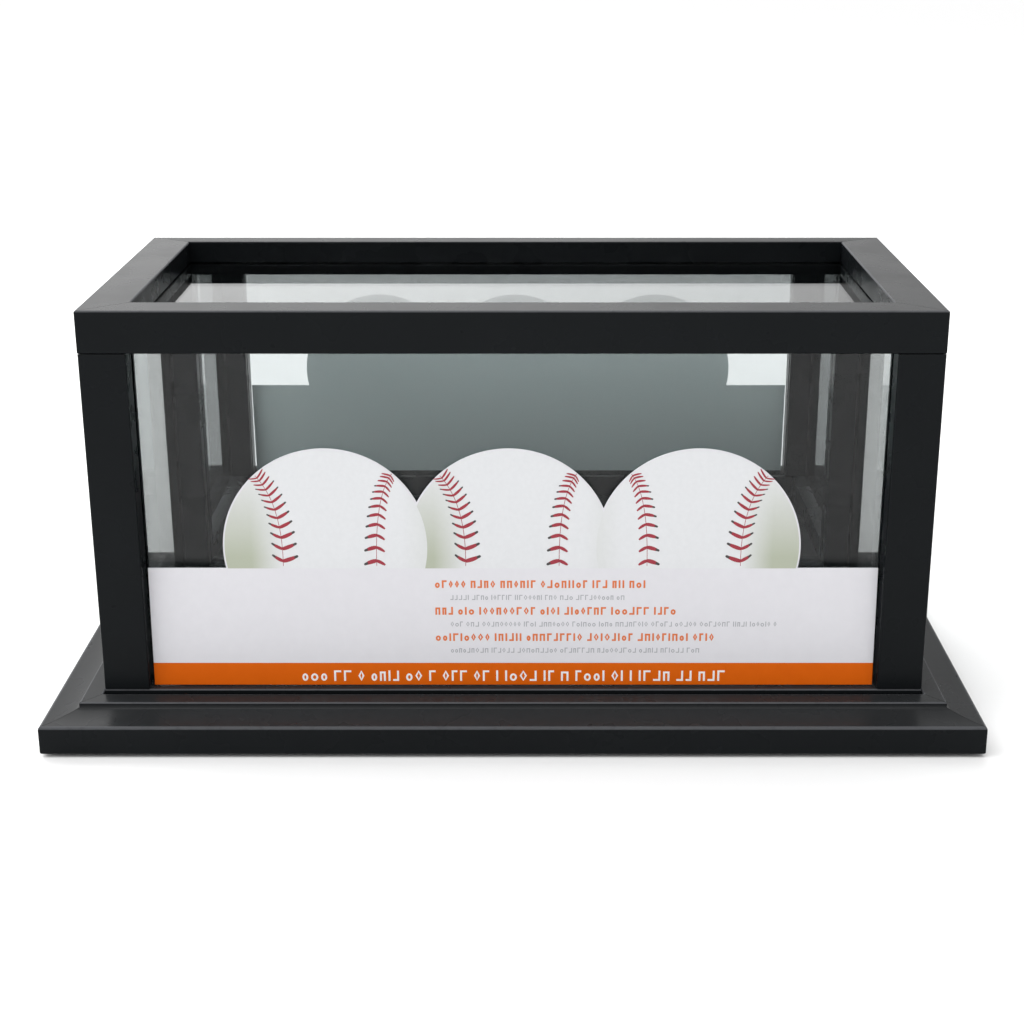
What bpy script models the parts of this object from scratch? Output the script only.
"""Table-top display case: a glazed lift-off cover on a wider coved base.

Metres, +Z up. The origin is the middle of the footprint, on the table. The front faces -Y and the
long side runs along X. The cover lifts straight up, and the card is drawn out to the front.
"""

import math

import bmesh
import bpy
from mathutils import Matrix, Vector

MM = 0.001

# ---------------------------------------------------------------- driving dimensions (millimetres)
OVERALL_WIDTH = 294.0
OVERALL_DEPTH = 142.0
OVERALL_HEIGHT = 139.0

GAP = 0.3                  # between pieces that touch
CARD_TILT = 2.5            # degrees that the card leans back

# base
COVER_INSET = 17.0         # from the edge of the base to the cover
PLAY = 0.5                 # round the cover in the base, so that it lifts freely
PAD_HEIGHT = 0.7
PAD_RADIUS = 6.0
PAD_INSET = 20.0
PAD_SIDES = 24
BASE_BOTTOM = PAD_HEIGHT + GAP
FOOT_CHAMFER = 0.6
ARRIS_Z = 10.5             # top of the upright edge
ARRIS_RADIUS = 0.9
COVE_END_U = 10.4          # how far in the cove runs
COVE_END_Z = 12.0
COVE_STEPS = 8
LEDGE_Z = 13.6
BEAD_RADIUS = 0.5
BOARD_TOP = 6.0
BOARD_LAP = 8.0            # width of the moulding's leg beside the board

# cover
COVER_WIDTH = OVERALL_WIDTH - 2 * COVER_INSET
COVER_DEPTH = OVERALL_DEPTH - 2 * COVER_INSET
FRONT_STICK = 11.0         # thickness of the front frame, front to back
BACK_STICK = 8.4
SIDE_STICK = 14.4          # width of the posts and of the side top rails
SIDE_FOOT = 11.2           # width of the side bottom rails
FOOT_RAIL_TOP = 14.9
TOP_RAIL_HEIGHT = 13.3
EDGE_BREAK = 0.35          # bevel on the long edges of the sticks

# glazing
GLASS = 2.0
GROOVE = GLASS + 2 * GAP
GROOVE_DEPTH = 3.0
TOP_GROOVE_DEPTH = 2.2     # groove for the upright panes in the top rails
FOOT_GROOVE_DEPTH = 3.5
BITE = 0.5                 # play between a pane's edge and the bottom of its groove
FRONT_RECESS = 6.7         # from the front face to the front pane's groove
SIDE_RECESS = 3.2
TOP_RECESS = 7.3
MIRROR_RECESS = 3.7        # from the back face to the lip in front of the mirror
BACKING = 1.0

# card
CARD_THICKNESS = 0.6
CARD_HALF_WIDTH = 114.6
CARD_FOOT_INSET = 2.6      # from the front face of the cover to the foot of the card
LABEL_HEIGHT = 39.5
BALL_RADIUS = 32.2
BALL_HEIGHT = 46.4         # centres of the balls above the foot of the card
BALL_CENTRES = (-58.5, -1.3, 57.8)
ARC_STEP = math.radians(6)

# derived
COVER_BOTTOM = BOARD_TOP + GAP
TOP_RAIL_BOTTOM = OVERALL_HEIGHT - TOP_RAIL_HEIGHT
HALF_X = COVER_WIDTH / 2
HALF_Y = COVER_DEPTH / 2
MITRE_GAP = GAP / 2

COLOURS = {
    "black_lacquer": ((0.012, 0.012, 0.014), 0.35, 0.0),
    "clear_glass": ((0.80, 0.84, 0.82), 0.05, 0.0),
    "silvered_glass": ((0.85, 0.87, 0.87), 0.03, 1.0),
    "black_board": ((0.015, 0.015, 0.016), 0.75, 0.0),
    "foot_felt": ((0.02, 0.02, 0.02), 0.95, 0.0),
    "printed_card": ((0.80, 0.80, 0.82), 0.45, 0.0),
}


# ---------------------------------------------------------------- helpers
def clear_scene():
    for old in list(bpy.data.objects):
        bpy.data.objects.remove(old, do_unlink=True)


def material(name):
    """A plain finish from the table of colours."""
    found = bpy.data.materials.get(name)
    if found is not None:
        return found
    colour, roughness, metallic = COLOURS[name]
    made = bpy.data.materials.new(name)
    made.use_nodes = True
    shader = made.node_tree.nodes["Principled BSDF"]
    shader.inputs["Base Color"].default_value = (*colour, 1.0)
    shader.inputs["Roughness"].default_value = roughness
    shader.inputs["Metallic"].default_value = metallic
    return made


def pivot(name, location):
    """An empty that a group of pieces hangs on."""
    empty = bpy.data.objects.new(name, None)
    empty.empty_display_size = 0.02
    empty.location = Vector(location) * MM
    bpy.context.collection.objects.link(empty)
    return empty


def finish(name, bm, finish_name, parent, location=(0.0, 0.0, 0.0), rotation=(0.0, 0.0, 0.0)):
    """Turn a bmesh in millimetres into a named object in metres."""
    bmesh.ops.scale(bm, vec=(MM, MM, MM), verts=bm.verts)
    bmesh.ops.recalc_face_normals(bm, faces=bm.faces)
    mesh = bpy.data.meshes.new(name)
    bm.to_mesh(mesh)
    bm.free()
    mesh.materials.append(material(finish_name))
    piece = bpy.data.objects.new(name, mesh)
    piece.location = Vector(location) * MM
    piece.rotation_euler = rotation
    piece.parent = parent
    bpy.context.collection.objects.link(piece)
    return piece


def prism(points, length, place):
    """Extrude a flat outline by length; place maps its (u, v, w) onto (x, y, z)."""
    bm = bmesh.new()
    corners = [bm.verts.new((u, v, 0.0)) for u, v in points]
    face = bm.faces.new(corners)
    swept = bmesh.ops.extrude_face_region(bm, geom=[face])
    moved = [item for item in swept["geom"] if isinstance(item, bmesh.types.BMVert)]
    bmesh.ops.translate(bm, vec=(0.0, 0.0, length), verts=moved)
    bmesh.ops.transform(bm, matrix=place, verts=bm.verts)
    return bm


def cut_off(bm, point, outward):
    """Saw the piece off along a plane and close the cut."""
    geometry = bm.verts[:] + bm.edges[:] + bm.faces[:]
    cut = bmesh.ops.bisect_plane(
        bm, geom=geometry, dist=1e-5, plane_co=point, plane_no=outward, clear_outer=True)
    rim = [item for item in cut["geom_cut"] if isinstance(item, bmesh.types.BMEdge)]
    bmesh.ops.edgeloop_fill(bm, edges=rim)


def side_places():
    """For each side of a ring: the way out of the case, and the way along the stick."""
    return {
        "front": (Vector((0, -1, 0)), Vector((1, 0, 0))),
        "back": (Vector((0, 1, 0)), Vector((-1, 0, 0))),
        "left": (Vector((-1, 0, 0)), Vector((0, -1, 0))),
        "right": (Vector((1, 0, 0)), Vector((0, 1, 0))),
    }


def ring(prefix, half_x, half_y, widths, sections, finish_name, parent):
    """Four mitred sticks round a rectangle.

    A section is a list of (u, z), with u measured in from the outer face. The mitre runs from the
    outer corner to the inner corner, which sets its angle where the sticks differ in width.
    """
    for side, (out, along) in side_places().items():
        reach = half_y if side in ("front", "back") else half_x
        half_length = half_x if side in ("front", "back") else half_y
        place = Matrix.Identity(4)
        place.col[0] = (*(-out), 0.0)
        place.col[1] = (0.0, 0.0, 1.0, 0.0)
        place.col[2] = (*along, 0.0)
        place.translation = out * reach - along * half_length
        bm = prism(sections[side], 2 * half_length, place)
        for sign in (-1, 1):
            end = along * sign
            neighbour = next(
                key for key, (way, _) in side_places().items() if (way - end).length < 0.5)
            corner = out * reach + end * half_length
            mitre = -out * widths[side] - end * widths[neighbour]
            outward = mitre.cross(Vector((0, 0, 1))).normalized()
            if outward.dot(end) < 0:
                outward = -outward
            cut_off(bm, corner - outward * MITRE_GAP, outward)
        finish(f"{prefix}_{side}", bm, finish_name, parent)


def box(name, low, high, finish_name, parent):
    """A rectangular board between two opposite corners."""
    size = [b - a for a, b in zip(low, high)]
    middle = [(a + b) / 2 for a, b in zip(low, high)]
    bm = bmesh.new()
    bmesh.ops.create_cube(bm, size=1.0)
    bmesh.ops.scale(bm, vec=size, verts=bm.verts)
    finish(name, bm, finish_name, parent, location=middle)


# ---------------------------------------------------------------- base
def base_section():
    """The coved moulding: fascia, arris, shallow cove, step, ledge, and a rabbet for the board."""
    points = [(FOOT_CHAMFER, BASE_BOTTOM), (0.0, BASE_BOTTOM + FOOT_CHAMFER)]
    for step in range(4):
        angle = math.radians(180 - 30 * step)
        points.append((
            ARRIS_RADIUS + ARRIS_RADIUS * math.cos(angle),
            ARRIS_Z - ARRIS_RADIUS + ARRIS_RADIUS * math.sin(angle)))
    run = COVE_END_U - ARRIS_RADIUS
    for step in range(1, COVE_STEPS + 1):
        along = step / COVE_STEPS
        points.append((ARRIS_RADIUS + run * along, ARRIS_Z + (COVE_END_Z - ARRIS_Z) * along ** 2))
    for step in range(4):
        angle = math.radians(180 - 30 * step)
        points.append((
            COVE_END_U + BEAD_RADIUS + BEAD_RADIUS * math.cos(angle),
            LEDGE_Z - BEAD_RADIUS + BEAD_RADIUS * math.sin(angle)))
    ledge_end = COVER_INSET - PLAY
    points.append((ledge_end - EDGE_BREAK, LEDGE_Z))
    points.append((ledge_end, LEDGE_Z - EDGE_BREAK))
    points.append((ledge_end, BOARD_TOP + GAP))
    points.append((BOARD_LAP, BOARD_TOP + GAP))
    points.append((BOARD_LAP, BASE_BOTTOM))
    return points


def make_base(parent):
    width = COVER_INSET - PLAY
    names = ("front", "back", "left", "right")
    ring(
        "base_moulding", OVERALL_WIDTH / 2, OVERALL_DEPTH / 2, dict.fromkeys(names, width),
        dict.fromkeys(names, base_section()), "black_lacquer", parent)
    board_x = OVERALL_WIDTH / 2 - BOARD_LAP - GAP
    board_y = OVERALL_DEPTH / 2 - BOARD_LAP - GAP
    box(
        "floor_board", (-board_x, -board_y, BASE_BOTTOM), (board_x, board_y, BOARD_TOP),
        "black_board", parent)
    for end, y_sign in (("front", -1), ("back", 1)):
        for side, x_sign in (("left", -1), ("right", 1)):
            bm = bmesh.new()
            bmesh.ops.create_cone(
                bm, cap_ends=True, cap_tris=False, segments=PAD_SIDES, radius1=PAD_RADIUS,
                radius2=PAD_RADIUS, depth=PAD_HEIGHT)
            pad = finish(
                f"foot_pad_{end}_{side}", bm, "foot_felt", parent,
                location=(
                    x_sign * (OVERALL_WIDTH / 2 - PAD_INSET),
                    y_sign * (OVERALL_DEPTH / 2 - PAD_INSET),
                    PAD_HEIGHT / 2))
            pad.data.shade_smooth()
            pad.data.set_sharp_from_angle(angle=math.radians(40))


# ---------------------------------------------------------------- cover frame
def grooved_foot(width, recess):
    """Bottom rail: a stick with a groove in its top for an upright pane."""
    floor = FOOT_RAIL_TOP - FOOT_GROOVE_DEPTH
    return [
        (0.0, COVER_BOTTOM), (0.0, FOOT_RAIL_TOP - EDGE_BREAK), (EDGE_BREAK, FOOT_RAIL_TOP),
        (recess, FOOT_RAIL_TOP), (recess, floor), (recess + GROOVE, floor),
        (recess + GROOVE, FOOT_RAIL_TOP), (width, FOOT_RAIL_TOP), (width, COVER_BOTTOM)]


def back_foot():
    """Back bottom rail: its rabbet is open at the back, for the mirror and its board."""
    floor = FOOT_RAIL_TOP - FOOT_GROOVE_DEPTH
    return [
        (0.0, COVER_BOTTOM), (0.0, floor), (MIRROR_RECESS, floor),
        (MIRROR_RECESS, FOOT_RAIL_TOP), (BACK_STICK, FOOT_RAIL_TOP), (BACK_STICK, COVER_BOTTOM)]


def top_pane_groove(width):
    """The groove in a top rail's inner face, from its upper to its lower corner."""
    upper = OVERALL_HEIGHT - TOP_RECESS
    lower = upper - GROOVE
    return [
        (width, upper), (width - GROOVE_DEPTH, upper), (width - GROOVE_DEPTH, lower),
        (width, lower)]


def grooved_top(width, recess):
    """Top rail: one groove below for an upright pane and one inside for the top pane."""
    roof = TOP_RAIL_BOTTOM + TOP_GROOVE_DEPTH
    points = [
        (EDGE_BREAK, TOP_RAIL_BOTTOM), (0.0, TOP_RAIL_BOTTOM + EDGE_BREAK),
        (0.0, OVERALL_HEIGHT - EDGE_BREAK), (EDGE_BREAK, OVERALL_HEIGHT),
        (width - EDGE_BREAK, OVERALL_HEIGHT), (width, OVERALL_HEIGHT - EDGE_BREAK)]
    points += top_pane_groove(width)
    points += [
        (width, TOP_RAIL_BOTTOM), (recess + GROOVE, TOP_RAIL_BOTTOM), (recess + GROOVE, roof),
        (recess, roof), (recess, TOP_RAIL_BOTTOM)]
    return points


def back_top():
    """Back top rail: the mirror's rabbet below, open at the back, and the top pane's groove."""
    roof = TOP_RAIL_BOTTOM + TOP_GROOVE_DEPTH
    points = [
        (0.0, roof), (0.0, OVERALL_HEIGHT - EDGE_BREAK), (EDGE_BREAK, OVERALL_HEIGHT),
        (BACK_STICK - EDGE_BREAK, OVERALL_HEIGHT), (BACK_STICK, OVERALL_HEIGHT - EDGE_BREAK)]
    points += top_pane_groove(BACK_STICK)
    points += [(BACK_STICK, TOP_RAIL_BOTTOM), (MIRROR_RECESS, TOP_RAIL_BOTTOM), (MIRROR_RECESS, roof)]
    return points


def front_post():
    """Plan of the front left post, from the outer corner (0, 0): in to +x and back to +y."""
    side_groove = FRONT_STICK - GROOVE_DEPTH
    front_groove = SIDE_STICK - GROOVE_DEPTH
    return [
        (0.0, EDGE_BREAK), (EDGE_BREAK, 0.0), (SIDE_STICK - EDGE_BREAK, 0.0),
        (SIDE_STICK, EDGE_BREAK), (SIDE_STICK, FRONT_RECESS), (front_groove, FRONT_RECESS),
        (front_groove, FRONT_RECESS + GROOVE), (SIDE_STICK, FRONT_RECESS + GROOVE),
        (SIDE_STICK, FRONT_STICK), (SIDE_RECESS + GROOVE, FRONT_STICK),
        (SIDE_RECESS + GROOVE, side_groove), (SIDE_RECESS, side_groove),
        (SIDE_RECESS, FRONT_STICK), (EDGE_BREAK, FRONT_STICK), (0.0, FRONT_STICK - EDGE_BREAK)]


def back_post():
    """Plan of the back left post, from the outer corner (0, 0): in to +x and forward to +y."""
    side_groove = BACK_STICK - GROOVE_DEPTH
    rabbet = SIDE_STICK - GROOVE_DEPTH
    return [
        (0.0, EDGE_BREAK), (EDGE_BREAK, 0.0), (rabbet, 0.0), (rabbet, MIRROR_RECESS),
        (SIDE_STICK, MIRROR_RECESS), (SIDE_STICK, BACK_STICK),
        (SIDE_RECESS + GROOVE, BACK_STICK), (SIDE_RECESS + GROOVE, side_groove),
        (SIDE_RECESS, side_groove), (SIDE_RECESS, BACK_STICK),
        (EDGE_BREAK, BACK_STICK), (0.0, BACK_STICK - EDGE_BREAK)]


def make_frame(parent):
    ring(
        "bottom_rail", HALF_X, HALF_Y,
        {"front": FRONT_STICK, "back": BACK_STICK, "left": SIDE_FOOT, "right": SIDE_FOOT},
        {
            "front": grooved_foot(FRONT_STICK, FRONT_RECESS),
            "back": back_foot(),
            "left": grooved_foot(SIDE_FOOT, SIDE_RECESS),
            "right": grooved_foot(SIDE_FOOT, SIDE_RECESS),
        }, "black_lacquer", parent)
    ring(
        "top_rail", HALF_X, HALF_Y,
        {"front": FRONT_STICK, "back": BACK_STICK, "left": SIDE_STICK, "right": SIDE_STICK},
        {
            "front": grooved_top(FRONT_STICK, FRONT_RECESS),
            "back": back_top(),
            "left": grooved_top(SIDE_STICK, SIDE_RECESS),
            "right": grooved_top(SIDE_STICK, SIDE_RECESS),
        }, "black_lacquer", parent)
    low = FOOT_RAIL_TOP + GAP
    length = TOP_RAIL_BOTTOM - GAP - low
    for end, plan, y_sign in (("front", front_post(), -1), ("back", back_post(), 1)):
        for side, x_sign in (("left", -1), ("right", 1)):
            place = Matrix.Diagonal((-x_sign, -y_sign, 1.0, 1.0))
            place.translation = (x_sign * HALF_X, y_sign * HALF_Y, low)
            finish(f"post_{end}_{side}", prism(plan, length, place), "black_lacquer", parent)


# ---------------------------------------------------------------- panes
def make_panes(parent):
    foot = FOOT_RAIL_TOP - FOOT_GROOVE_DEPTH + BITE
    head = TOP_RAIL_BOTTOM + TOP_GROOVE_DEPTH - BITE
    bite = GROOVE_DEPTH - BITE
    across = HALF_X - SIDE_STICK + bite
    front_y = -HALF_Y + FRONT_RECESS + GAP
    box(
        "front_pane", (-across, front_y, foot), (across, front_y + GLASS, head),
        "clear_glass", parent)
    side_x = HALF_X - SIDE_RECESS - GAP - GLASS
    side_low = -HALF_Y + FRONT_STICK - bite
    side_high = HALF_Y - BACK_STICK + bite
    for side, x_sign in (("left", -1), ("right", 1)):
        edges = sorted((x_sign * side_x, x_sign * (side_x + GLASS)))
        box(
            f"{side}_pane", (edges[0], side_low, foot), (edges[1], side_high, head),
            "clear_glass", parent)
    top_z = OVERALL_HEIGHT - TOP_RECESS - GAP
    box(
        "top_pane", (-across, side_low, top_z - GLASS), (across, side_high, top_z),
        "clear_glass", parent)
    mirror_y = HALF_Y - MIRROR_RECESS + GAP
    box(
        "mirror_pane", (-across, mirror_y, foot), (across, mirror_y + GLASS, head),
        "silvered_glass", parent)
    backing_y = mirror_y + GLASS + GAP
    box(
        "backing_board", (-across, backing_y, foot), (across, backing_y + BACKING, head),
        "black_board", parent)


# ---------------------------------------------------------------- card
def crossing(first, second):
    """The angle, seen from the first centre, at which two equal circles meet at the top."""
    return math.acos((second - first) / 2 / BALL_RADIUS)


def card_outline():
    """The card's outline, from its foot: the label, then three balls from right to left."""
    points = [(-CARD_HALF_WIDTH, 0.0), (CARD_HALF_WIDTH, 0.0), (CARD_HALF_WIDTH, LABEL_HEIGHT)]
    shoulder = math.asin((LABEL_HEIGHT - BALL_HEIGHT) / BALL_RADIUS)
    left, middle, right = BALL_CENTRES
    spans = (
        (right, shoulder, math.pi - crossing(middle, right)),
        (middle, crossing(middle, right), math.pi - crossing(left, middle)),
        (left, crossing(left, middle), math.pi - shoulder))
    for centre, start, end in spans:
        steps = max(2, round((end - start) / ARC_STEP))
        for step in range(steps):
            angle = start + (end - start) * step / steps
            points.append((
                centre + BALL_RADIUS * math.cos(angle),
                BALL_HEIGHT + BALL_RADIUS * math.sin(angle)))
    points.append((left + BALL_RADIUS * math.cos(math.pi - shoulder), LABEL_HEIGHT))
    points.append((-CARD_HALF_WIDTH, LABEL_HEIGHT))
    return points


def make_card(parent):
    upright = Matrix(((1, 0, 0, 0), (0, 0, 1, 0), (0, 1, 0, 0), (0, 0, 0, 1)))
    bm = prism(card_outline(), CARD_THICKNESS, upright)
    foot = (0.0, -HALF_Y + CARD_FOOT_INSET, FOOT_RAIL_TOP + GAP)
    finish(
        "insert_card", bm, "printed_card", parent, location=foot,
        rotation=(-math.radians(CARD_TILT), 0.0, 0.0))


def main():
    clear_scene()
    base = pivot("base_frame", (0.0, 0.0, 0.0))
    cover = pivot("cover_frame", (0.0, 0.0, 0.0))
    make_base(base)
    make_frame(cover)
    make_panes(cover)
    make_card(cover)


main()
